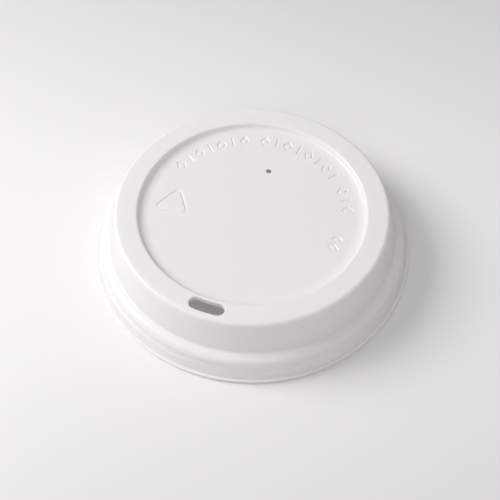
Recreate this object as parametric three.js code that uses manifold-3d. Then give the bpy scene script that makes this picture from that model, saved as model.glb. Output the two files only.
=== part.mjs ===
// Takeaway cup lid: one thin moulded shell with a snap skirt, a raised crown and a sunken centre.
// Millimetres, +Z up. The origin is the centre of the circle on which the lip rests, and the front is -Y.
import * as THREE from 'three';
import * as BufferGeometryUtils from 'three/addons/utils/BufferGeometryUtils.js';
import Module from 'manifold-3d';

// Overall sizes
const lipDiameter = 94;
const lidHeight = 18.8;
const wall = 0.5;

// Skirt, from the lip up to the shoulder
const lipWidth = 0.8;
const lipHeight = 1.3;
const lipRound = 0.45;
const bandHeight = 2.75;
const bandLean = 0.7;
const grooveDepth = 0.3;
const grooveHeight = 0.15;
const ridgeHeight = 0.75;
const ridgeStep = 0.3;
const shoulderHeight = 3.25;
const shoulderBulge = 0.25;
const shoulderRound = 2.6;
const shoulderShare = 0.8;

// Crown and sunken centre
const creaseDiameter = 84.2;
const creaseRound = 0.7;
const crownDiameter = 79.2;
const crownRound = 1.2;
const recessDiameter = 66.3;
const recessDepth = 1.75;
const recessLean = 1.6;
const recessEdgeRound = 0.5;
const recessFootRound = 0.6;

// Drinking slot with its turned-down collar, and the vent hole
const slotLength = 10.2;
const slotWidth = 3.7;
const slotTurn = -20;
const collarDepth = 1.8;
const ventDiameter = 1.5;
const ventInset = 15.3;
const ventTurn = 162;

// Engraved marks on the sunken floor
const markDepth = 0.25;
const strokeWidth = 0.55;
const markInset = 3.9;
const markHeight = 3.6;
const lozengeWidth = 3;
const markPitch = 7.5;
const groupGap = 13;
const groupCounts = [7, 8, 3];
const firstMarkTurn = 229.5;
const triangleSide = 11.7;
const triangleRound = 1.4;
const triangleInset = 8.5;
const triangleTurn = -98.5;
const triangleTilt = -15;
const pairInset = 5.4;
const pairTurn = 64;
const pairPitch = 6.6;
const pairWidth = 2.2;

// Fineness of the round shapes
const sectors = 72;
const arcStep = THREE.MathUtils.degToRad(25);
const leastRound = 0.02;
const holeSteps = 16;
const cutOver = 1;

const plastic = new THREE.MeshStandardMaterial({ color: 0xeceaea, roughness: 0.35, metalness: 0 });

const wasm = await Module();
wasm.setup();

// Sizes that follow from the ones above
const lipRadius = lipDiameter / 2;
const crownRadius = crownDiameter / 2;
const creaseRadius = creaseDiameter / 2;
const recessRadius = recessDiameter / 2;
const bandFoot = lipRadius - lipWidth;
const bandTop = lipHeight + bandHeight;
const ridgeFoot = bandTop + grooveHeight;
const ridgeTop = ridgeFoot + ridgeHeight;
const shoulderTop = ridgeTop + shoulderHeight;
const bandTopRadius = bandFoot - bandLean;
const grooveRadius = bandTopRadius - grooveDepth;
const neckRadius = grooveRadius - ridgeStep;
const shoulderRadius = neckRadius + shoulderBulge;
const floorHeight = lidHeight - recessDepth;
const floorRadius = recessRadius - recessLean;
const wallLean = Math.atan2(creaseRadius - crownRadius, lidHeight - shoulderTop);
const crownFlatRadius = crownRadius - crownRound * Math.tan((Math.PI / 2 - wallLean) / 2);

// The place of a point on a circle, its turn in degrees from the front, positive towards +X
function onCircle(radius, turn) {
  const angle = THREE.MathUtils.degToRad(turn - 90);
  return new THREE.Vector2(radius * Math.cos(angle), radius * Math.sin(angle));
}

// One corner of an outline: its place, the fillet that rounds it and how much of its shorter side that may take
function cornerAt(at, round = 0, share = 0.49) {
  return { at, round, share };
}

function corner(radius, height, round, share) {
  return cornerAt(new THREE.Vector2(radius, height), round, share);
}

// Points of one rounded corner, between the corners before and after it
function roundedCorner(before, here, after) {
  const back = before.at.clone().sub(here.at);
  const ahead = after.at.clone().sub(here.at);
  const room = here.share * Math.min(back.length(), ahead.length());
  back.normalize();
  ahead.normalize();
  const opening = Math.acos(THREE.MathUtils.clamp(back.dot(ahead), -1, 1));
  const run = Math.min(room, here.round / Math.tan(opening / 2));
  const round = run * Math.tan(opening / 2);
  if (round < leastRound) return [here.at.clone()];
  const inward = back.clone().add(ahead).normalize();
  const centre = here.at.clone().addScaledVector(inward, round / Math.sin(opening / 2));
  const from = here.at.clone().addScaledVector(back, run).sub(centre);
  const turn = (Math.PI - opening) * Math.sign(back.cross(ahead));
  const steps = Math.max(1, Math.round(Math.abs(turn) / arcStep));
  return Array.from({ length: steps + 1 }, (_, i) =>
    from.clone().rotateAround(new THREE.Vector2(), (-turn * i) / steps).add(centre));
}

function roundedChain(corners) {
  return corners.flatMap((here, i) => {
    const ends = i === 0 || i === corners.length - 1;
    return ends || here.round === 0 ? [here.at.clone()] : roundedCorner(corners[i - 1], here, corners[i + 1]);
  });
}

// The same corner one wall thickness further in, where the two offset faces meet
function innerCorner(before, here, after, round, share) {
  const back = here.at.clone().sub(before.at).normalize();
  const ahead = after.at.clone().sub(here.at).normalize();
  const normalBack = new THREE.Vector2(-back.y, back.x);
  const normalAhead = new THREE.Vector2(-ahead.y, ahead.x);
  const mitre = normalBack.clone().add(normalAhead);
  mitre.multiplyScalar(wall / (1 + normalBack.dot(normalAhead)));
  return cornerAt(here.at.clone().add(mitre), round, share);
}

// Half section of the shell: up the outside from the lip to the axis, then back down the inside
function shellSection() {
  const neck = corner(neckRadius, ridgeTop);
  const shoulder = corner(shoulderRadius, shoulderTop, shoulderRound, shoulderShare);
  const crease = corner(creaseRadius, shoulderTop, creaseRound, 1 - shoulderShare);
  const crown = corner(crownRadius, lidHeight, crownRound);
  const recessEdge = corner(recessRadius, lidHeight, recessEdgeRound);
  const recessFoot = corner(floorRadius, floorHeight, recessFootRound);
  const centre = corner(0, floorHeight);
  const outside = [
    corner(bandFoot - wall, 0),
    corner(lipRadius, 0, lipRound),
    corner(lipRadius, lipHeight, lipRound),
    corner(bandFoot, lipHeight),
    corner(bandTopRadius, bandTop),
    corner(grooveRadius, ridgeFoot),
    corner(grooveRadius, ridgeTop - grooveHeight),
    neck, shoulder, crease, crown, recessEdge, recessFoot, centre,
  ];
  const inside = [
    corner(0, floorHeight - wall),
    innerCorner(recessEdge, recessFoot, centre, recessFootRound + wall),
    innerCorner(crown, recessEdge, recessFoot),
    innerCorner(crease, crown, recessEdge, crownRound - wall),
    innerCorner(shoulder, crease, crown),
    innerCorner(neck, shoulder, crease, shoulderRound - wall, shoulderShare),
    corner(neckRadius - wall, ridgeTop),
    corner(bandFoot - wall, lipHeight),
  ];
  return [...roundedChain(outside), ...roundedChain(inside), outside[0].at.clone()];
}

// A closed mesh as a solid for joining and cutting
function solidFrom(geometry) {
  const bare = geometry.clone();
  bare.deleteAttribute('normal');
  bare.deleteAttribute('uv');
  const merged = BufferGeometryUtils.mergeVertices(bare, 1e-5);
  const corners = merged.index.array;
  const kept = [];
  for (let i = 0; i < corners.length; i += 3) {
    const [a, b, c] = [corners[i], corners[i + 1], corners[i + 2]];
    if (a !== b && b !== c && c !== a) kept.push(a, b, c);
  }
  const vertProperties = new Float32Array(merged.attributes.position.array);
  return new wasm.Manifold(new wasm.Mesh({ numProp: 3, vertProperties, triVerts: new Uint32Array(kept) }));
}

function geometryFrom(solid) {
  const mesh = solid.getMesh();
  const geometry = new THREE.BufferGeometry();
  geometry.setAttribute('position', new THREE.BufferAttribute(mesh.vertProperties, 3));
  geometry.setIndex(new THREE.BufferAttribute(mesh.triVerts, 1));
  geometry.computeVertexNormals();
  return geometry;
}

// A flat shape as an upright prism between two heights
function prism(shape, low, high, curveSegments = holeSteps) {
  const geometry = new THREE.ExtrudeGeometry(shape, { depth: high - low, bevelEnabled: false, curveSegments });
  return solidFrom(geometry.translate(0, 0, low));
}

function shell() {
  const lathe = new THREE.LatheGeometry(shellSection(), sectors);
  return solidFrom(lathe.rotateX(Math.PI / 2));
}

// Slot that follows the crown's ring, wider all round by the given margin
function slotShape(margin) {
  const middle = (recessRadius + crownFlatRadius) / 2;
  const halfWidth = slotWidth / 2 + margin;
  const halfTurn = THREE.MathUtils.radToDeg((slotLength - slotWidth) / 2 / middle);
  const start = THREE.MathUtils.degToRad(slotTurn - halfTurn - 90);
  const end = THREE.MathUtils.degToRad(slotTurn + halfTurn - 90);
  const first = onCircle(middle, slotTurn - halfTurn);
  const last = onCircle(middle, slotTurn + halfTurn);
  const shape = new THREE.Shape();
  shape.absarc(0, 0, middle + halfWidth, start, end, false);
  shape.absarc(last.x, last.y, halfWidth, end, end + Math.PI, false);
  shape.absarc(0, 0, middle - halfWidth, end, start, true);
  shape.absarc(first.x, first.y, halfWidth, start + Math.PI, start + 2 * Math.PI, false);
  return shape;
}

function ventShape() {
  const centre = onCircle(floorRadius - ventInset, ventTurn);
  return new THREE.Shape().absarc(centre.x, centre.y, ventDiameter / 2, 0, 2 * Math.PI, false);
}

// Moves the points of a mark, drawn upright about the origin, to its place
function placed(points, centre, tilt) {
  const angle = THREE.MathUtils.degToRad(tilt);
  return points.map((point) => point.clone().rotateAround(new THREE.Vector2(), angle).add(centre));
}

// The same, on a circle round the floor with the mark's head outward
function placedRound(points, radius, turn) {
  return placed(points, onCircle(radius, turn), turn + 180);
}

function lozenge(width, height) {
  return [[width, 0], [0, height], [-width, 0], [0, -height]].map(([x, y]) => new THREE.Vector2(x / 2, y / 2));
}

function bar(width, height) {
  return [[width, -height], [width, height], [-width, height], [-width, -height]]
    .map(([x, y]) => new THREE.Vector2(x / 2, y / 2));
}

// Equal-sided triangle with round corners, its apex up
function roundedTriangle(side, round) {
  const reach = side / Math.sqrt(3);
  const corners = [90, 210, 330].map((turn) => cornerAt(onCircle(reach, turn + 90), round));
  return corners.flatMap((here, i) => roundedCorner(corners[(i + 2) % 3], here, corners[(i + 1) % 3]));
}

// A stroke that runs round an outline: the outline with a smaller copy left standing inside it
function ringShape(outer, inner) {
  const shape = new THREE.Shape(outer);
  shape.holes.push(new THREE.Path(inner));
  return shape;
}

function lozengeRing(width, height, radius, turn) {
  const left = 1 - 2 * strokeWidth * Math.hypot(1 / width, 1 / height);
  const outer = placedRound(lozenge(width, height), radius, turn);
  const inner = placedRound(lozenge(width * left, height * left), radius, turn);
  return ringShape(outer, inner);
}

// Border of the floor: lozenges and bars by turns, in three groups
function borderShapes() {
  const radius = floorRadius - markInset;
  const shapes = [];
  let turn = firstMarkTurn;
  for (const count of groupCounts) {
    for (let i = 0; i < count; i += 1) {
      const upright = placedRound(bar(strokeWidth, markHeight), radius, turn);
      shapes.push(i % 2 === 0 ? lozengeRing(lozengeWidth, markHeight, radius, turn) : new THREE.Shape(upright));
      turn -= markPitch;
    }
    turn -= groupGap - markPitch;
  }
  return shapes;
}

function triangleShape() {
  const centre = onCircle(floorRadius - triangleInset, triangleTurn);
  const innerSide = triangleSide - 2 * Math.sqrt(3) * strokeWidth;
  const innerRound = Math.max(triangleRound - strokeWidth, strokeWidth / 2);
  const outer = placed(roundedTriangle(triangleSide, triangleRound), centre, triangleTilt);
  const inner = placed(roundedTriangle(innerSide, innerRound), centre, triangleTilt);
  return ringShape(outer, inner);
}

function pairShapes() {
  return [-0.5, 0.5].map((step) =>
    lozengeRing(pairWidth, markHeight, floorRadius - pairInset, pairTurn + step * pairPitch));
}

function marks() {
  const shapes = [...borderShapes(), triangleShape(), ...pairShapes()];
  return shapes.map((shape) => prism(shape, floorHeight - markDepth, floorHeight + cutOver));
}

function lid() {
  const collar = prism(slotShape(wall), lidHeight - collarDepth, lidHeight - wall / 2);
  const slot = prism(slotShape(0), lidHeight - collarDepth - cutOver, lidHeight + cutOver);
  const vent = prism(ventShape(), floorHeight - wall - cutOver, floorHeight + cutOver);
  let solid = shell().add(collar).subtract(slot).subtract(vent);
  for (const mark of marks()) solid = solid.subtract(mark);
  const mesh = new THREE.Mesh(geometryFrom(solid), plastic);
  mesh.name = 'lid';
  return mesh;
}

const cupLid = new THREE.Group();
cupLid.add(lid());

export default cupLid;
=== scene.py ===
"""Takeaway cup lid, dressed for a photograph.

It has the moulded shell in fine mesh, its satin plastic and a pale studio. All sizes are in metres in the
lid's own frame: +Z up, the origin under the centre of the lip, the front at -Y.
"""

import math
from collections import namedtuple

import bmesh
import bpy
from bpy.props import FloatProperty, FloatVectorProperty, IntProperty, IntVectorProperty, PointerProperty
from bpy.types import Operator, Panel, PropertyGroup
from mathutils import Matrix, Vector
from mathutils.geometry import delaunay_2d_cdt


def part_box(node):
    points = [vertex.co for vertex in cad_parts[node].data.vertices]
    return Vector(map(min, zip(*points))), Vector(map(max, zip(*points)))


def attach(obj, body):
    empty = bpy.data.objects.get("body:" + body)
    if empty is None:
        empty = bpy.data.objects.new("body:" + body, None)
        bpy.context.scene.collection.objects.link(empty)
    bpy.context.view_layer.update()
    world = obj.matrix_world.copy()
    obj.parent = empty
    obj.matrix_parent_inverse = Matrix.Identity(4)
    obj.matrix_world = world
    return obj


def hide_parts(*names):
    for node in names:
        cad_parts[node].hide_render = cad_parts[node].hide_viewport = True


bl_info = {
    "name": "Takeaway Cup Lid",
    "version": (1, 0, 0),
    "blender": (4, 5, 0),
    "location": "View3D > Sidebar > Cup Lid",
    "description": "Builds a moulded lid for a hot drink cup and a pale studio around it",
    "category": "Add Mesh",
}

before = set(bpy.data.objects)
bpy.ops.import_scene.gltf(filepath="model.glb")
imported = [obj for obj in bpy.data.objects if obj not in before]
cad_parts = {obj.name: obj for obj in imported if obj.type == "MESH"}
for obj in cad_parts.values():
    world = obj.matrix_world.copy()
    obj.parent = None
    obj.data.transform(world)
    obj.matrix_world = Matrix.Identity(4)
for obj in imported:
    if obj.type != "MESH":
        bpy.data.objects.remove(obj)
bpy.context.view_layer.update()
LID_LOW, LID_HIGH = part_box("lid")

MM = 0.001

# Fineness of the mesh
SECTORS = 288
ARC_STEP = math.radians(9)
SUPPORT = 0.08 * MM
GROOVE_STEPS = 5
MARK_CORNER_STEPS = 6
SLOT_ARC_STEPS = 24
SLOT_END_STEPS = 16
VENT_STEPS = 32
SHORTEST_SUPPORTED = 4 * SUPPORT
WELD = 0.0005 * MM
FILL_TOLERANCE = 1e-5

# Share of the shorter side beside a corner that its rounding may take
SIDE_SHARE = 0.49
SHOULDER_SHARE = 0.8
CREASE_SHARE = 0.19
FOOT_SHARE = 0.3
SWEEP_SHARE = 0.7

# Surface of the plastic
PLASTIC_GRAIN = 0.22 * MM
PLASTIC_DRIFT = 14 * MM
PLASTIC_IOR = 1.5
DULL_SHARE = 0.99
ROUGHNESS_SPREAD = 0.05
BUMP_STRENGTH = 0.35
BUMP_DISTANCE = 0.004 * MM

# Floor, background and camera
FLOOR_GRAIN = 0.6 * MM
FLOOR_DRIFT = 60 * MM
FLOOR_ROUGHNESS = (0.3, 0.38)
FLOOR_HALF = 3.0
LIGHT_COLOUR = (1.0, 1.0, 1.0, 1.0)
BACKGROUND_COLOUR = (0.82, 0.81, 0.815, 1.0)
FILM_WIDTH = 36.0
CAMERA_NEAR = 0.01
CAMERA_FAR = 20.0


def length(name, description, default_mm):
    """A length that a user can change, with its default in millimetres."""
    return FloatProperty(name=name, description=description, default=default_mm * MM, min=0.0,
                         precision=5, subtype="DISTANCE", unit="LENGTH")


def angle(name, description, default_degrees):
    """An angle that a user can change, with its default in degrees."""
    return FloatProperty(name=name, description=description, default=math.radians(default_degrees),
                         subtype="ANGLE", unit="ROTATION")


class LidShellSizes(PropertyGroup):
    """Sizes of the moulded shell."""
    lip_diameter: length("Lip diameter", "Across the lip's bead", (LID_HIGH.x - LID_LOW.x) / MM)
    lid_height: length("Height", "From the foot to the top of the crown", (LID_HIGH.z - LID_LOW.z) / MM)
    wall: length("Wall", "Thickness of the plastic", 0.5)
    lip_width: length("Lip width", "How far the lip stands out from the band", 0.8)
    lip_height: length("Lip height", "Height of the lip's bead", 1.3)
    lip_round: length("Lip rounding", "Rounding of the bead's outer edges", 0.4)
    lip_lift: length("Lip lift", "Height of the gap under the bead, outside the foot", 0.5)
    lip_foot_inset: length("Lip foot inset", "From the bead's outer face in to the foot", 0.75)
    lip_valley: length("Lip valley", "Depth of the valley between the bead and the band", 0.2)
    band_height: length("Band height", "Height of the leaning band above the lip", 2.75)
    band_lean: length("Band lean", "How much smaller the band's radius is at its top", 0.75)
    groove_depth: length("Groove depth", "How far each fine groove cuts in from below", 0.33)
    groove_rise: length("Groove rise", "How far each fine groove comes out again above", 0.22)
    groove_height: length("Groove height", "Height of each fine groove", 0.26)
    ridge_height: length("Ridge height", "Height of the fine ridge between the grooves", 0.62)
    ridge_lean: length("Ridge lean", "How much smaller the ridge's radius is at its top", 0.14)
    shoulder_height: length("Shoulder height", "Height of the rounded shoulder", 3.01)
    shoulder_bulge: length("Shoulder bulge", "How far the shoulder stands out over the neck", 0.06)
    shoulder_round: length("Shoulder rounding", "Radius of the shoulder", 2.6)
    crease_diameter: length("Crease diameter", "Where the leaning wall meets the shoulder", 84.2)
    crease_round: length("Crease rounding", "Fillet where the wall meets the shoulder", 0.7)
    crown_diameter: length("Crown diameter", "Across the top edge of the leaning wall", 79.2)
    crown_round: length("Crown rounding", "Rounding of the crown's outer edge", 1.2)
    recess_diameter: length("Recess diameter", "Across the top edge of the sunken centre", 66.3)
    recess_depth: length("Recess depth", "Depth of the sunken centre", 1.75)
    recess_lean: length("Recess lean", "How much smaller the recess is at its floor, in radius", 2.05)
    recess_wall_depth: length("Recess wall depth", "Depth of the steep upper part of the recess wall", 1.35)
    recess_wall_lean: length("Recess wall lean", "How far the steep part leans in, in radius", 0.65)
    recess_edge_round: length("Recess edge rounding", "Rounding of the recess's top edge", 0.7)
    recess_foot_round: length("Recess foot rounding", "Fillet under the steep part", 1.1)
    recess_sweep_round: length("Recess sweep rounding", "Wide fillet at the foot of the wall", 7.3)
    edge_round: length("Edge rounding", "Rounding of the fine grooves and edges", 0.14)


class LidOpeningSizes(PropertyGroup):
    """Sizes of the drinking slot and the vent hole."""
    slot_length: length("Slot length", "Along the crown ring, from end to end", 10.2)
    slot_width: length("Slot width", "Across the crown ring", 3.7)
    slot_turn: angle("Slot turn", "Turn of the slot's middle from the front, towards +X", -20)
    slot_edge_round: length("Slot edge rounding", "Rounding of the slot's top edge", 0.22)
    collar_depth: length("Collar depth", "Depth of the turned-down collar, from the crown's top", 1.8)
    collar_wall: length("Collar wall", "Thickness of the turned-down collar", 0.3)
    vent_diameter: length("Vent diameter", "Across the vent hole", 1.6)
    vent_inset: length("Vent inset", "From the floor's edge to the vent's centre", 14.85)
    vent_turn: angle("Vent turn", "Turn of the vent from the front, towards +X", 162)
    vent_edge_round: length("Vent edge rounding", "Rounding of the vent's edges", 0.18)


class LidMarkSizes(PropertyGroup):
    """Sizes and places of the pressed marks on the floor."""
    depth: length("Depth", "Depth of the pressed strokes", 0.3)
    stroke: length("Stroke", "Width of the pressed strokes", 0.84)
    inset: length("Border inset", "From the floor's edge to the middle of the border", 3.45)
    height: length("Mark height", "Height of each mark of the border, stroke middle to middle", 3.0)
    lozenge_width: length("Lozenge width", "Width of a lozenge, stroke middle to middle", 2.4)
    corner_round: length("Corner rounding", "Rounding of a lozenge's corners, at stroke middle", 0.12)
    pitch: angle("Pitch", "Turn from one mark to the next", 7.5)
    group_gap: angle("Group gap", "Turn from the last mark of a group to the first of the next", 13)
    first_turn: angle("First turn", "Turn of the border's first mark from the front", 229.5)
    groups: IntVectorProperty(name="Groups", description="Number of marks in each group",
                              default=(7, 8, 3), min=0)
    triangle_side: length("Triangle side", "Side of the triangle along the stroke's middle", 10.2)
    triangle_round: length("Triangle rounding", "Rounding of the triangle's corners", 1.15)
    triangle_inset: length("Triangle inset", "From the floor's edge to the triangle's centre", 8.05)
    triangle_turn: angle("Triangle turn", "Turn of the triangle from the front", -98.5)
    triangle_tilt: angle("Triangle tilt", "Tilt of the triangle's head from +Y", -15)
    pair_inset: length("Pair inset", "From the floor's edge to the pair of small lozenges", 4.95)
    pair_turn: angle("Pair turn", "Turn of the pair from the front", 64)
    pair_pitch: angle("Pair pitch", "Turn between the two small lozenges", 6.6)
    pair_width: length("Pair width", "Width of a small lozenge, stroke middle to middle", 1.8)


class LidFinish(PropertyGroup):
    """Look of the plastic."""
    colour: FloatVectorProperty(name="Plastic colour", description="Colour of the white plastic", size=3,
                                default=(0.965, 0.952, 0.955), min=0.0, max=1.0, subtype="COLOR")
    roughness: FloatProperty(name="Roughness", description="Middle roughness of the satin surface",
                             default=0.36, min=0.0, max=1.0, subtype="FACTOR")
    see_through: FloatProperty(name="See-through", description="Share of the light that each face lets in",
                               default=0.3, min=0.0, max=1.0, subtype="FACTOR")


class StudioSettings(PropertyGroup):
    """Floor, lamps and camera."""
    floor_colour: FloatVectorProperty(name="Floor colour", description="Colour of the floor", size=3,
                                      default=(0.87, 0.855, 0.862), min=0.0, max=1.0, subtype="COLOR")
    # Painted shade: the floor's colour is darkened away from the lid, in front and behind, in place of light
    # falling off.
    floor_painted_shade: FloatProperty(name="Floor painted shade", description="How much darker the floor is far off",
                              default=0.3, min=0.0, max=1.0, subtype="FACTOR")
    painted_shade_length: length("Painted shade length", "From the lid to where the floor has faded", 220)
    sky_strength: FloatProperty(name="Sky strength", description="Strength of the even light all round",
                                default=0.36, min=0.0)
    key_power: FloatProperty(name="Key power", description="Power of the soft lamp on the left",
                             default=4.8, min=0.0, unit="POWER")
    key_turn: angle("Key turn", "Turn of the key lamp from the front, towards +X", -103)
    key_height: angle("Key height", "Height of the key lamp over the floor, as an angle", 41)
    key_distance: length("Key distance", "From the lid to the key lamp", 800)
    key_size: length("Key size", "Side of the key lamp's square face", 420)
    fill_power: FloatProperty(name="Fill power", description="Power of the weak lamp near the front",
                              default=1.35, min=0.0, unit="POWER")
    fill_turn: angle("Fill turn", "Turn of the fill lamp from the front, towards +X", -10)
    fill_height: angle("Fill height", "Height of the fill lamp over the floor, as an angle", 50)
    fill_distance: length("Fill distance", "From the lid to the fill lamp", 800)
    fill_size: length("Fill size", "Side of the fill lamp's square face", 500)
    camera_distance: length("Camera distance", "From the camera to the point that it looks at", 302.1)
    camera_height: angle("Camera height", "Height of the camera over the floor, as an angle", 53.8)
    camera_target: FloatVectorProperty(name="Camera target", description="Point that the camera looks at",
                                       default=(-0.6 * MM, -1.28 * MM, 0.0), subtype="TRANSLATION",
                                       unit="LENGTH")
    camera_lens: FloatProperty(name="Camera lens", description="Focal length in mm, on a 36 mm frame",
                               default=72.0, min=1.0)


Corner = namedtuple("Corner", "at round share")
Stroke = namedtuple("Stroke", "corners round tilt centre")


def corner(radius, height, rounding=0.0, share=SIDE_SHARE):
    """One corner of a section, at a radius from the axis and a height, with its fillet."""
    return Corner(Vector((radius, height)), rounding, share)


def turned(point, turn):
    """A flat point turned about the origin."""
    return Matrix.Rotation(turn, 2) @ point


def on_circle(radius, turn):
    """The place on a circle at a turn from the front, positive towards +X."""
    return turned(Vector((0.0, -radius)), turn)


def rounded_corner(before, here, after):
    """Points of one rounded corner, between the corners before and after it."""
    back = before.at - here.at
    ahead = after.at - here.at
    room = here.share * min(back.length, ahead.length)
    back.normalize()
    ahead.normalize()
    opening = back.angle(ahead)
    run = min(room, here.round / math.tan(opening / 2))
    if run < WELD:
        return [here.at.copy()]
    radius = run * math.tan(opening / 2)
    centre = here.at + (back + ahead).normalized() * (radius / math.sin(opening / 2))
    start = here.at + back * run - centre
    side = math.copysign(1.0, back.x * ahead.y - back.y * ahead.x)
    steps = max(2, math.ceil((math.pi - opening) / ARC_STEP))
    turns = [-side * (math.pi - opening) * step / steps for step in range(steps + 1)]
    return [centre + turned(start, turn) for turn in turns]


def chain(corners):
    """Rounded corners joined in a line. The first and last corner only say where its ends point."""
    arcs = [rounded_corner(*three) for three in zip(corners, corners[1:], corners[2:])]
    points = [arcs[0][0] + (corners[0].at - arcs[0][0]).normalized() * SUPPORT]
    for arc, following in zip(arcs, arcs[1:]):
        points += arc
        gap = following[0] - arc[-1]
        if gap.length > SHORTEST_SUPPORTED:
            step = gap.normalized() * SUPPORT
            points += [arc[-1] + step, following[0] - step]
    last = arcs[-1]
    return points + last + [last[-1] + (corners[-1].at - last[-1]).normalized() * SUPPORT]


def inner_corner(before, here, after, wall, rounding=0.0, share=SIDE_SHARE):
    """The same corner one wall thickness further in, where the two offset faces meet."""
    back = (here.at - before.at).normalized()
    ahead = (after.at - here.at).normalized()
    across = Vector((-back.y, back.x)) + Vector((-ahead.y, ahead.x))
    return Corner(here.at + across * (2 * wall / across.length_squared), rounding, share)


class ShellPlan:
    """Radii, heights and corners of the lid's half section, worked out from its sizes."""

    def __init__(self, sizes):
        self.sizes = sizes
        self.top = sizes.lid_height
        self.under_top = self.top - sizes.wall
        self.floor = self.top - sizes.recess_depth
        self.recess_radius = sizes.recess_diameter / 2
        self.floor_radius = self.recess_radius - sizes.recess_lean
        self.lip_radius = sizes.lip_diameter / 2
        self.band_foot = self.lip_radius - sizes.lip_width
        self.band_top = sizes.lip_height + sizes.band_height
        self.ridge_foot = self.band_top + sizes.groove_height
        self.ridge_top = self.ridge_foot + sizes.ridge_height
        self.neck_foot = self.ridge_top + sizes.groove_height
        self.shoulder_top = self.neck_foot + sizes.shoulder_height
        self.band_top_radius = self.band_foot - sizes.band_lean
        self.ridge_radius = self.band_top_radius - sizes.groove_depth + sizes.groove_rise
        self.ridge_top_radius = self.ridge_radius - sizes.ridge_lean
        self.neck_radius = self.ridge_top_radius - sizes.groove_depth + sizes.groove_rise
        self.shoulder_radius = self.neck_radius + sizes.shoulder_bulge
        crown_radius = sizes.crown_diameter / 2
        crease_radius = sizes.crease_diameter / 2
        lean = math.atan2(crease_radius - crown_radius, self.top - self.shoulder_top)
        self.ring_radius = crown_radius - sizes.crown_round * math.tan((math.pi / 2 - lean) / 2)
        self.neck = corner(self.neck_radius, self.neck_foot, sizes.edge_round)
        self.shoulder = corner(self.shoulder_radius, self.shoulder_top, sizes.shoulder_round, SHOULDER_SHARE)
        self.crease = corner(crease_radius, self.shoulder_top, sizes.crease_round, CREASE_SHARE)
        self.crown = corner(crown_radius, self.top, sizes.crown_round)
        self.recess_edge = corner(self.recess_radius, self.top, sizes.recess_edge_round)
        foot_radius = self.recess_radius - sizes.recess_wall_lean
        foot_height = self.top - sizes.recess_wall_depth
        self.recess_foot = corner(foot_radius, foot_height, sizes.recess_foot_round, FOOT_SHARE)
        self.recess_sweep = corner(self.floor_radius, self.floor, sizes.recess_sweep_round, SWEEP_SHARE)
        self.centre = corner(0.0, self.floor)

    def grooved(self, radius, height):
        """Corners of one fine groove, whose lower edge is at a radius and height."""
        sizes = self.sizes
        bottom = radius - sizes.groove_depth
        return [
            corner(radius, height, sizes.edge_round / 2),
            corner(bottom, height + sizes.groove_height / 2, sizes.edge_round / 3),
            corner(bottom + sizes.groove_rise, height + sizes.groove_height, sizes.edge_round),
        ]

    def outer_wall(self):
        """From the inside of the lip's foot, round the lip and up to the crown."""
        sizes = self.sizes
        edge = sizes.edge_round
        inside = self.band_foot - sizes.wall
        return chain([
            corner(inside, sizes.lip_height),
            corner(inside, 0.0, edge),
            corner(self.lip_radius - sizes.lip_foot_inset, 0.0, edge),
            corner(self.lip_radius - sizes.lip_foot_inset, sizes.lip_lift, edge),
            corner(self.lip_radius, sizes.lip_lift, sizes.lip_round),
            corner(self.lip_radius, sizes.lip_height, sizes.lip_round),
            corner(self.band_foot, sizes.lip_height - sizes.lip_valley, edge / 2),
            *self.grooved(self.band_top_radius, self.band_top),
            *self.grooved(self.ridge_top_radius, self.ridge_top),
            self.shoulder, self.crease, self.crown, self.recess_edge,
        ])

    def recess_wall(self):
        """From the crown ring down to the floor."""
        return chain([self.crown, self.recess_edge, self.recess_foot, self.recess_sweep, self.centre])

    def inner_recess_wall(self):
        """Under the recess wall, from the floor's underside out to the ring's underside."""
        wall = self.sizes.wall
        sweep = inner_corner(self.recess_foot, self.recess_sweep, self.centre, wall,
                             self.sizes.recess_sweep_round, SWEEP_SHARE)
        foot = inner_corner(self.recess_edge, self.recess_foot, self.recess_sweep, wall,
                            self.sizes.recess_foot_round, FOOT_SHARE)
        edge = inner_corner(self.crown, self.recess_edge, self.recess_foot, wall, wall / 10)
        centre = corner(0.0, self.floor - wall)
        return chain([centre, sweep, foot, edge, corner(self.ring_radius, self.under_top)])

    def inner_wall(self):
        """Under the crown ring, down the inside to the lip's foot."""
        sizes = self.sizes
        wall = sizes.wall
        inside = self.band_foot - wall
        return chain([
            corner(self.recess_radius, self.under_top),
            inner_corner(self.crease, self.crown, self.recess_edge, wall, sizes.crown_round - wall),
            inner_corner(self.shoulder, self.crease, self.crown, wall, sizes.edge_round, CREASE_SHARE),
            inner_corner(self.neck, self.shoulder, self.crease, wall, sizes.shoulder_round - wall,
                         SHOULDER_SHARE),
            corner(self.neck_radius - wall, self.ridge_top, sizes.edge_round),
            corner(inside, sizes.lip_height, sizes.edge_round),
            corner(inside, 0.0),
        ])


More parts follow.
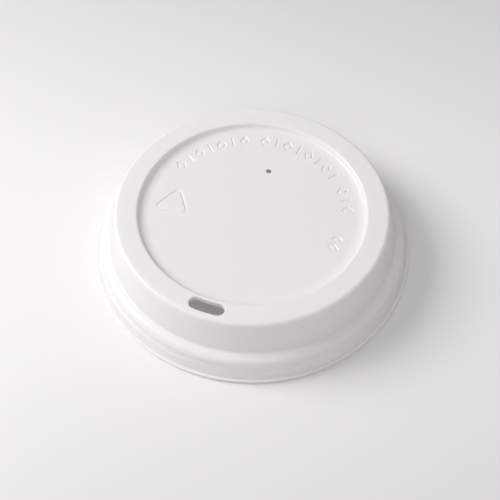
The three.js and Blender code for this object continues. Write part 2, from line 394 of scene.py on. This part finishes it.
class Skin:
    """Points and faces of the shell while it is put together."""

    def __init__(self):
        self.points = []
        self.faces = []

    def loop(self, outline, height):
        """Adds a closed outline at a height and gives its point numbers."""
        start = len(self.points)
        self.points += [(point.x, point.y, height) for point in outline]
        return list(range(start, len(self.points)))

    def ring(self, radius, height):
        """Adds a circle about the axis."""
        return self.loop([on_circle(radius, math.tau * i / SECTORS) for i in range(SECTORS)], height)

    def bridge(self, first, second):
        """Joins two loops of as many points."""
        self.faces += [(first[i - 1], first[i], second[i], second[i - 1]) for i in range(len(first))]

    def tube(self, loops):
        """Joins loops in a row, and gives the first and the last."""
        for first, second in zip(loops, loops[1:]):
            self.bridge(first, second)
        return loops[0], loops[-1]

    def turned_wall(self, section):
        """The surface that a section makes round the axis."""
        return self.tube([self.ring(point.x, point.y) for point in section])

    def flat_fill(self, edge, holes):
        """Fills the flat area inside a loop and outside the holes."""
        loops = [edge, *holes]
        order = [number for one in loops for number in one]
        place = {number: i for i, number in enumerate(order)}
        flat = [Vector(self.points[number][:2]) / MM for number in order]
        sides = [(place[one[i - 1]], place[one[i]]) for one in loops for i in range(len(one))]
        filled = delaunay_2d_cdt(flat, sides, [], 1, FILL_TOLERANCE, True)
        corners, faces, sources = filled[0], filled[2], filled[3]
        outlines = [[flat[place[number]] for number in hole] for hole in holes]
        for face in faces:
            middle = sum((corners[i] for i in face), Vector((0.0, 0.0))) / len(face)
            if not any(inside_outline(middle, outline) for outline in outlines):
                self.faces.append(tuple(order[sources[i][0]] for i in face))


def inside_outline(point, outline):
    """Whether a flat point lies inside a closed outline."""
    inside = False
    for first, second in zip(outline, outline[1:] + outline[:1]):
        if (first.y > point.y) != (second.y > point.y):
            crossing = first.x + (second.x - first.x) * (point.y - first.y) / (second.y - first.y)
            inside ^= crossing > point.x
    return inside


def slot_outline(plan, openings, margin):
    """The slot follows the crown ring. Its outline is wider all round by the margin."""
    middle = (plan.recess_radius + plan.ring_radius) / 2
    half_width = openings.slot_width / 2 + margin
    half_turn = (openings.slot_length - openings.slot_width) / 2 / middle
    start = openings.slot_turn - half_turn
    end = openings.slot_turn + half_turn
    outer = [on_circle(middle + half_width, start + (end - start) * i / SLOT_ARC_STEPS)
             for i in range(SLOT_ARC_STEPS)]
    inner = [on_circle(middle - half_width, end + (start - end) * i / SLOT_ARC_STEPS)
             for i in range(SLOT_ARC_STEPS)]
    last_end = [on_circle(middle, end) + on_circle(half_width, end + math.pi * i / SLOT_END_STEPS)
                for i in range(SLOT_END_STEPS)]
    first_end = [on_circle(middle, start) + on_circle(half_width, start + math.pi * (1 + i / SLOT_END_STEPS))
                 for i in range(SLOT_END_STEPS)]
    return outer + last_end + inner + first_end


def slot_section(plan, openings):
    """From the crown ring round the collar's foot and out under the ring, as margin and height."""
    wall = openings.collar_wall
    foot = plan.top - openings.collar_depth
    return chain([
        corner(openings.slot_width, plan.top),
        corner(0.0, plan.top, openings.slot_edge_round),
        corner(0.0, foot, wall / 2),
        corner(wall, foot, wall / 2),
        corner(wall, plan.under_top, wall / 8),
        corner(openings.slot_width, plan.under_top),
    ])


def vent_outline(plan, openings, margin):
    """The vent's circle, wider all round by the margin."""
    centre = on_circle(plan.floor_radius - openings.vent_inset, openings.vent_turn)
    radius = openings.vent_diameter / 2 + margin
    return [centre + on_circle(radius, math.tau * i / VENT_STEPS) for i in range(VENT_STEPS)]


def vent_section(plan, openings):
    """Through the floor at the vent's edge, as margin and height."""
    under = plan.floor - plan.sizes.wall
    return chain([
        corner(openings.vent_diameter, plan.floor),
        corner(0.0, plan.floor, openings.vent_edge_round),
        corner(0.0, under, openings.vent_edge_round),
        corner(openings.vent_diameter, under),
    ])


def lozenge(width, height):
    """Corners of an upright lozenge."""
    ends = (width / 2, 0), (0, height / 2), (-width / 2, 0), (0, -height / 2)
    return [Vector(end) for end in ends]


def bar(height):
    """Ends of an upright bar."""
    return [Vector((0, -height / 2)), Vector((0, height / 2))]


def triangle(side):
    """Corners of an equal-sided triangle, its head up."""
    return [on_circle(side / math.sqrt(3), math.pi + math.tau * i / 3) for i in range(3)]


def border_strokes(plan, marks):
    """Lozenges and bars by turns round the floor, in groups."""
    radius = plan.floor_radius - marks.inset
    turn = marks.first_turn
    strokes = []
    for count in marks.groups:
        for i in range(count):
            shape = bar(marks.height) if i % 2 else lozenge(marks.lozenge_width, marks.height)
            rounding = 0.0 if i % 2 else marks.corner_round
            strokes.append(Stroke(shape, rounding, turn + math.pi, on_circle(radius, turn)))
            turn -= marks.pitch
        turn -= marks.group_gap - marks.pitch
    return strokes


def floor_strokes(plan, marks):
    """Every pressed stroke of the floor."""
    strokes = border_strokes(plan, marks)
    place = on_circle(plan.floor_radius - marks.triangle_inset, marks.triangle_turn)
    strokes.append(Stroke(triangle(marks.triangle_side), marks.triangle_round, marks.triangle_tilt, place))
    small = lozenge(marks.pair_width, marks.height)
    for step in (-0.5, 0.5):
        turn = marks.pair_turn + step * marks.pair_pitch
        place = on_circle(plan.floor_radius - marks.pair_inset, turn)
        strokes.append(Stroke(small, marks.corner_round, turn + math.pi, place))
    return strokes


def stroke_outline(stroke, offset):
    """The closed line that runs beside a stroke's middle line, outside it where the offset is positive."""
    corners = stroke.corners
    outline = []
    for i, here in enumerate(corners):
        before = (here - corners[i - 1]).normalized()
        after = (corners[(i + 1) % len(corners)] - here).normalized()
        start = math.atan2(-before.x, before.y)
        sweep = (math.atan2(-after.x, after.y) - start) % math.tau
        inward = Vector((math.cos(start + sweep / 2), math.sin(start + sweep / 2))) * -1
        mitre = 1 / math.cos(sweep / 2) if len(corners) > 2 else 0.0
        radius = max(stroke.round + offset, 0.0)
        centre = here + inward * mitre * (radius - offset)
        for step in range(MARK_CORNER_STEPS + 1):
            turn = start + sweep * step / MARK_CORNER_STEPS
            outline.append(centre + Vector((math.cos(turn), math.sin(turn))) * radius)
    return [turned(point, stroke.tilt) + stroke.centre for point in outline]


def press_stroke(skin, stroke, marks, level):
    """Presses one stroke into a level of the floor. Gives the loop that the floor's fill leaves open."""
    half = marks.stroke / 2
    open_ended = len(stroke.corners) == 2
    steps = range(GROOVE_STEPS, -1 if open_ended else -GROOVE_STEPS - 1, -1)
    loops = [skin.loop(stroke_outline(stroke, half + SUPPORT), level)]
    for step in steps:
        offset = half * step / GROOVE_STEPS
        drop = marks.depth * (1 + math.cos(math.pi * offset / half)) / 2
        loops.append(skin.loop(stroke_outline(stroke, offset), level - drop))
    if not open_ended:
        loops.append(skin.loop(stroke_outline(stroke, -half - SUPPORT), level))
        skin.faces.append(tuple(loops[-1]))
    skin.tube(loops)
    return loops[0]


def shell_mesh(sizes, openings, marks):
    """The whole shell as one closed mesh."""
    plan = ShellPlan(sizes)
    skin = Skin()
    wall_foot, crown_edge = skin.turned_wall(plan.outer_wall())
    ring_edge, floor_edge = skin.turned_wall(plan.recess_wall())
    under_floor_edge, under_ring_edge = skin.turned_wall(plan.inner_recess_wall())
    under_crown_edge, inner_foot = skin.turned_wall(plan.inner_wall())
    skin.bridge(inner_foot, wall_foot)
    slot_top, slot_under = skin.tube([
        skin.loop(slot_outline(plan, openings, point.x), point.y) for point in slot_section(plan, openings)])
    vent_top, vent_under = skin.tube([
        skin.loop(vent_outline(plan, openings, point.x), point.y) for point in vent_section(plan, openings)])
    skin.flat_fill(crown_edge, [ring_edge, slot_top])
    skin.flat_fill(under_crown_edge, [under_ring_edge, slot_under])
    strokes = floor_strokes(plan, marks)
    faces = (floor_edge, vent_top, plan.floor), (under_floor_edge, vent_under, plan.floor - sizes.wall)
    for edge, vent, level in faces:
        skin.flat_fill(edge, [vent, *[press_stroke(skin, one, marks, level) for one in strokes]])
    mesh = bpy.data.meshes.new("moulded_shell")
    mesh.from_pydata(skin.points, [], skin.faces)
    tidy_mesh(mesh)
    return mesh


def tidy_mesh(mesh):
    """Welds points that fall together, turns every face outward and shades the surface smooth."""
    work = bmesh.new()
    work.from_mesh(mesh)
    bmesh.ops.remove_doubles(work, verts=work.verts, dist=WELD)
    bmesh.ops.dissolve_degenerate(work, edges=work.edges, dist=WELD)
    bmesh.ops.recalc_face_normals(work, faces=work.faces)
    open_edges = [edge for edge in work.edges if not edge.is_manifold]
    if open_edges:
        raise RuntimeError(f"the shell has {len(open_edges)} open edges")
    for face in work.faces:
        face.smooth = True
    work.to_mesh(mesh)
    work.free()


def joined(tree, kind, inputs=None, **settings):
    """Adds a shader node. Inputs are values, or the sockets that feed them."""
    node = tree.nodes.new(kind)
    for name, value in settings.items():
        setattr(node, name, value)
    for name, value in (inputs or {}).items():
        if isinstance(value, bpy.types.NodeSocket):
            tree.links.new(value, node.inputs[name])
        else:
            node.inputs[name].default_value = value
    return node


def fine_grain_group():
    """Shared effect: a fine surface grain with slow drift, as a height and two masks."""
    group = bpy.data.node_groups.new("fine_grain", "ShaderNodeTree")
    for name, default in (("Grain Size", PLASTIC_GRAIN), ("Drift Size", PLASTIC_DRIFT)):
        socket = group.interface.new_socket(name, in_out="INPUT", socket_type="NodeSocketFloat")
        socket.default_value = default
    for name in ("Height", "Grain", "Drift"):
        group.interface.new_socket(name, in_out="OUTPUT", socket_type="NodeSocketFloat")
    given = group.nodes.new("NodeGroupInput")
    result = group.nodes.new("NodeGroupOutput")
    place = joined(group, "ShaderNodeTexCoord").outputs["Object"]
    sockets = {}
    for name, detail in (("Grain", 2.0), ("Drift", 3.0)):
        size = given.outputs[f"{name} Size"]
        scale = joined(group, "ShaderNodeMath", {0: 1.0, 1: size}, operation="DIVIDE").outputs[0]
        noise = joined(group, "ShaderNodeTexNoise", {"Vector": place, "Scale": scale, "Detail": detail})
        sockets[name] = noise.outputs["Fac"]
    height = joined(group, "ShaderNodeMath", {0: sockets["Grain"], 1: sockets["Drift"]}, operation="ADD")
    group.links.new(height.outputs[0], result.inputs["Height"])
    group.links.new(sockets["Grain"], result.inputs["Grain"])
    group.links.new(sockets["Drift"], result.inputs["Drift"])
    return group


def grain_node(tree, grain_size, drift_size):
    """Places the shared grain in a material."""
    group = bpy.data.node_groups.get("fine_grain") or fine_grain_group()
    node = joined(tree, "ShaderNodeGroup", node_tree=group)
    node.inputs["Grain Size"].default_value = grain_size
    node.inputs["Drift Size"].default_value = drift_size
    return node


def mixed_colour(tree, factor, first, second):
    """A colour between two, by a factor socket."""
    mix = joined(tree, "ShaderNodeMix", data_type="RGBA")
    tree.links.new(factor, mix.inputs["Factor"])
    mix.inputs["A"].default_value = (*first, 1.0)
    mix.inputs["B"].default_value = (*second, 1.0)
    return mix.outputs["Result"]


def ranged(tree, value, low, high):
    """Maps a mask from 0..1 to a range."""
    node = joined(tree, "ShaderNodeMapRange", {"Value": value, "To Min": low, "To Max": high})
    return node.outputs["Result"]


def satin_plastic(finish):
    """White moulded plastic: satin, with a fine grain, and thin enough to let some light through."""
    material = bpy.data.materials.new("satin_white_plastic")
    material.use_nodes = True
    tree = material.node_tree
    skin = tree.nodes["Principled BSDF"]
    grain = grain_node(tree, PLASTIC_GRAIN, PLASTIC_DRIFT)
    bright = tuple(finish.colour)
    dull = tuple(channel * DULL_SHARE for channel in bright)
    colour = mixed_colour(tree, grain.outputs["Drift"], dull, bright)
    rough = ranged(tree, grain.outputs["Grain"],
                   finish.roughness - ROUGHNESS_SPREAD, finish.roughness + ROUGHNESS_SPREAD)
    relief = {"Height": grain.outputs["Height"], "Strength": BUMP_STRENGTH, "Distance": BUMP_DISTANCE}
    normal = joined(tree, "ShaderNodeBump", relief).outputs["Normal"]
    tree.links.new(colour, skin.inputs["Base Color"])
    tree.links.new(rough, skin.inputs["Roughness"])
    tree.links.new(normal, skin.inputs["Normal"])
    skin.inputs["IOR"].default_value = PLASTIC_IOR
    through = joined(tree, "ShaderNodeBsdfTranslucent", {"Color": colour, "Normal": normal})
    both = joined(tree, "ShaderNodeMixShader",
                  {0: finish.see_through, 1: skin.outputs["BSDF"], 2: through.outputs["BSDF"]})
    tree.links.new(both.outputs["Shader"], tree.nodes["Material Output"].inputs["Surface"])
    return material


def floor_material(studio):
    """Pale smooth floor with a soft sheen. Its colour is darkened far in front and behind as painted shade,
    in place of light falling off.
    """
    material = bpy.data.materials.new("pale_floor")
    material.use_nodes = True
    tree = material.node_tree
    shader = tree.nodes["Principled BSDF"]
    grain = grain_node(tree, FLOOR_GRAIN, FLOOR_DRIFT)
    place = joined(tree, "ShaderNodeTexCoord").outputs["Object"]
    # Painted shade: the floor's colour darkens with the distance along Y from the lid.
    along = joined(tree, "ShaderNodeSeparateXYZ", {0: place}).outputs["Y"]
    reach = joined(tree, "ShaderNodeMath", {0: along}, operation="ABSOLUTE")
    painted_shade_ramp = joined(tree, "ShaderNodeMapRange", {"Value": reach.outputs[0], "From Max": studio.painted_shade_length},
                  interpolation_type="SMOOTHSTEP")
    bright = tuple(studio.floor_colour)
    dark = tuple(channel * (1 - studio.floor_painted_shade) for channel in bright)
    tree.links.new(mixed_colour(tree, painted_shade_ramp.outputs["Result"], bright, dark), shader.inputs["Base Color"])
    tree.links.new(ranged(tree, grain.outputs["Grain"], *FLOOR_ROUGHNESS), shader.inputs["Roughness"])
    return material


def new_object(name, mesh):
    """Links a mesh into the scene as a named object."""
    piece = bpy.data.objects.new(name, mesh)
    bpy.context.scene.collection.objects.link(piece)
    return piece


def add_floor(studio):
    """A wide flat floor under the lid."""
    mesh = bpy.data.meshes.new("floor")
    signs = (-1, -1), (1, -1), (1, 1), (-1, 1)
    corners = [(x * FLOOR_HALF, y * FLOOR_HALF, 0) for x, y in signs]
    mesh.from_pydata(corners, [], [(0, 1, 2, 3)])
    mesh.materials.append(floor_material(studio))
    floor = new_object("floor", mesh)


def add_lamp(studio, part):
    """A soft square lamp that faces the lid. Part is key or fill, as its settings' names begin."""
    power, turn, height, distance, size = (
        getattr(studio, f"{part}_{setting}") for setting in ("power", "turn", "height", "distance", "size"))
    light = bpy.data.lights.new(f"{part}_lamp", "AREA")
    light.shape = "SQUARE"
    light.size = size
    light.energy = power
    lamp = new_object(f"{part}_lamp", light)
    flat = on_circle(distance * math.cos(height), turn)
    lamp.location = (flat.x, flat.y, distance * math.sin(height))
    lamp.rotation_euler = lamp.location.to_track_quat("Z", "Y").to_euler()


def add_sky(studio):
    """Even light all round, and the pale background that the camera and reflections see."""
    world = bpy.data.worlds.new("studio_sky")
    world.use_nodes = True
    bpy.context.scene.world = world
    tree = world.node_tree
    tree.nodes.clear()
    rays = joined(tree, "ShaderNodeLightPath").outputs
    seen = rays["Is Camera Ray"]
    for other in ("Is Glossy Ray", "Is Transmission Ray"):
        seen = joined(tree, "ShaderNodeMath", {0: seen, 1: rays[other]}, operation="MAXIMUM").outputs[0]
    light = joined(tree, "ShaderNodeBackground", {"Color": LIGHT_COLOUR, "Strength": studio.sky_strength})
    shown = joined(tree, "ShaderNodeBackground", {"Color": BACKGROUND_COLOUR, "Strength": 1.0})
    mix = joined(tree, "ShaderNodeMixShader", {0: seen, 1: light.outputs[0], 2: shown.outputs[0]})
    output = joined(tree, "ShaderNodeOutputWorld")
    tree.links.new(mix.outputs[0], output.inputs["Surface"])


def add_camera(studio):
    """The camera at the photograph's place."""
    data = bpy.data.cameras.new("camera")
    data.lens = studio.camera_lens
    data.sensor_width = FILM_WIDTH
    data.clip_start = CAMERA_NEAR
    data.clip_end = CAMERA_FAR
    camera = new_object("camera", data)
    away = Vector((0.0, -math.cos(studio.camera_height), math.sin(studio.camera_height)))
    camera.location = Vector(studio.camera_target) + away * studio.camera_distance
    camera.rotation_euler = away.to_track_quat("Z", "Y").to_euler()
    bpy.context.scene.camera = camera


class LID_OT_moulded_shell(Operator):
    """Build the moulded shell in fine mesh with its plastic"""
    bl_idname = "lid.moulded_shell"
    bl_label = "Moulded Shell"

    def execute(self, context):
        scene = context.scene
        mesh = shell_mesh(scene.lid_shell, scene.lid_openings, scene.lid_marks)
        mesh.materials.append(satin_plastic(scene.lid_finish))
        piece = new_object("lid_shell", mesh)
        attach(piece, "root")
        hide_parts("lid")
        return {"FINISHED"}


class LID_OT_studio(Operator):
    """Set up the floor, the lamps and the camera"""
    bl_idname = "lid.studio"
    bl_label = "Studio"

    def execute(self, context):
        studio = context.scene.lid_studio
        add_floor(studio)
        add_lamp(studio, "key")
        add_lamp(studio, "fill")
        add_sky(studio)
        add_camera(studio)
        context.scene.view_settings.view_transform = "Standard"
        return {"FINISHED"}


class LID_PT_panel(Panel):
    """Buttons for the lid and its studio"""
    bl_idname = "LID_PT_panel"
    bl_label = "Takeaway Cup Lid"
    bl_space_type = "VIEW_3D"
    bl_region_type = "UI"
    bl_category = "Cup Lid"

    def draw(self, context):
        for settings in ("lid_shell", "lid_openings", "lid_marks", "lid_finish"):
            self.list_settings(getattr(context.scene, settings))
        self.layout.operator(LID_OT_moulded_shell.bl_idname)
        self.list_settings(context.scene.lid_studio)
        self.layout.operator(LID_OT_studio.bl_idname)

    def list_settings(self, group):
        """Lists every setting of a group."""
        column = self.layout.column(align=True)
        for name in group.__annotations__:
            column.prop(group, name)


SETTINGS = {
    "lid_shell": LidShellSizes,
    "lid_openings": LidOpeningSizes,
    "lid_marks": LidMarkSizes,
    "lid_finish": LidFinish,
    "lid_studio": StudioSettings,
}
CLASSES = (*SETTINGS.values(), LID_OT_moulded_shell, LID_OT_studio, LID_PT_panel)


def register():
    for each in CLASSES:
        bpy.utils.register_class(each)
    for name, group in SETTINGS.items():
        setattr(bpy.types.Scene, name, PointerProperty(type=group))


def unregister():
    for name in SETTINGS:
        delattr(bpy.types.Scene, name)
    for each in reversed(CLASSES):
        bpy.utils.unregister_class(each)


def main():
    register()
    bpy.ops.lid.moulded_shell()
    bpy.ops.lid.studio()


if __name__ == "__main__":
    main()
